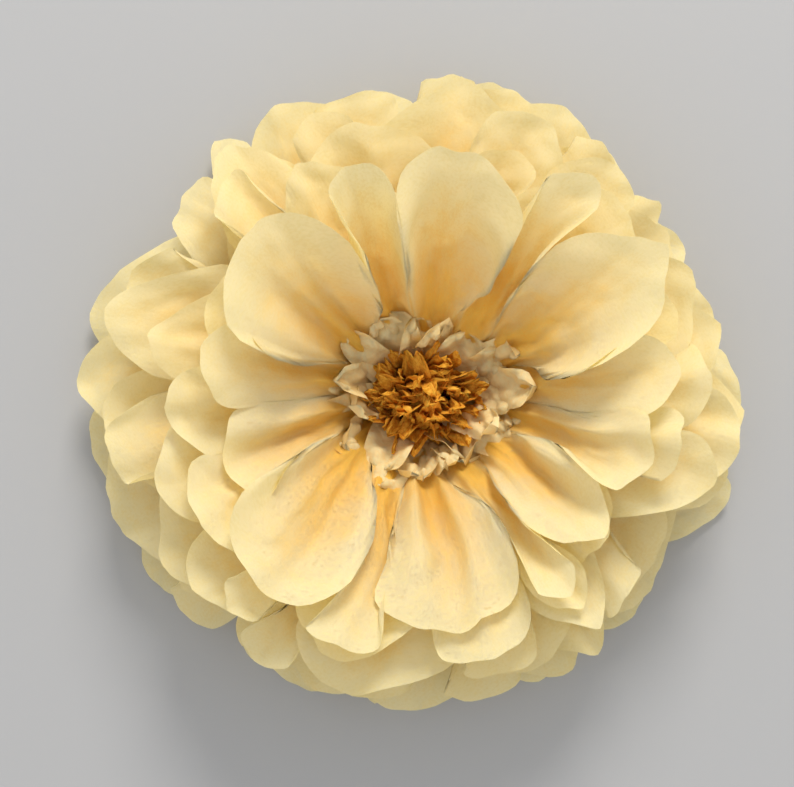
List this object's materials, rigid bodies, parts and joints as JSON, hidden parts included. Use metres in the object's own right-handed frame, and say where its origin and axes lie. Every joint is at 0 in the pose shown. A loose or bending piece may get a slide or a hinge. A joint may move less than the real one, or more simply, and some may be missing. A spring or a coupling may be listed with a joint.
{
  "type": "paper flower",
  "caption": "Giant open paper flower of nested pleated tissue sheets, with wide pale petals, a cream collar and a ruffled gold centre, tied through the middle.",
  "frame": {"origin": "middle of the tie's flat underside, on the flower's axis, on the surface that the flower lies on", "axes": "+Z along the flower's axis, out of its open face; +X along the tie, across the pleats; +Y along the pleats"},
  "size_m": [0.5099, 0.4853, 0.1633],
  "materials": {
    "petal_tissue": "thin matt pale yellow tissue, lets light through",
    "collar_tissue": "thin matt cream tissue, crumpled",
    "centre_tissue": "thin matt gold tissue, crumpled",
    "tie_paper": "matt paper band"
  },
  "bodies": {
    "root": {"petal_sheet_1": "petal_tissue", "petal_sheet_2": "petal_tissue", "petal_sheet_3": "petal_tissue", "petal_sheet_4": "petal_tissue", "petal_sheet_5": "petal_tissue", "petal_sheet_6": "petal_tissue", "petal_sheet_7": "petal_tissue", "collar_sheet_1": "collar_tissue", "collar_sheet_2": "collar_tissue", "centre_sheet_1": "centre_tissue", "centre_sheet_2": "centre_tissue", "centre_sheet_3": "centre_tissue", "centre_sheet_4": "centre_tissue", "neck_tie": "tie_paper"}
  },
  "joints": []
}
